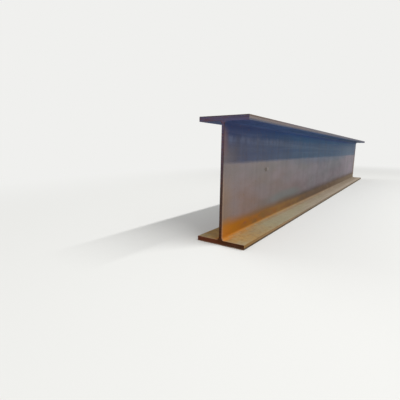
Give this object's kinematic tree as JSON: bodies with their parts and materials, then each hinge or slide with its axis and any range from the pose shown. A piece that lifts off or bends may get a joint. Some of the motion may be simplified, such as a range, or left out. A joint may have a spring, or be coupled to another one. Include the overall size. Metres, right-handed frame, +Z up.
{
  "type": "steel h-beam",
  "caption": "Hot-rolled steel H-beam: a straight length of stock with two parallel flanges on an upright web, rounded roots, square sawn ends and a rusted mill-scale surface.",
  "frame": {"origin": "middle of the underside of the bottom flange, on the floor the beam stands on", "axes": "+X along the beam, towards the end that is far away in the reference view; +Y across the flanges, away from the side that the reference view shows; +Z up the web"},
  "size_m": [5, 0.302, 0.708],
  "materials": {
    "rusted_steel": "hot-rolled mild steel with blue-grey mill scale, brown weathering and orange rust along the roots and flanges"
  },
  "bodies": {
    "root": {"h_beam": "rusted_steel"}
  },
  "joints": []
}
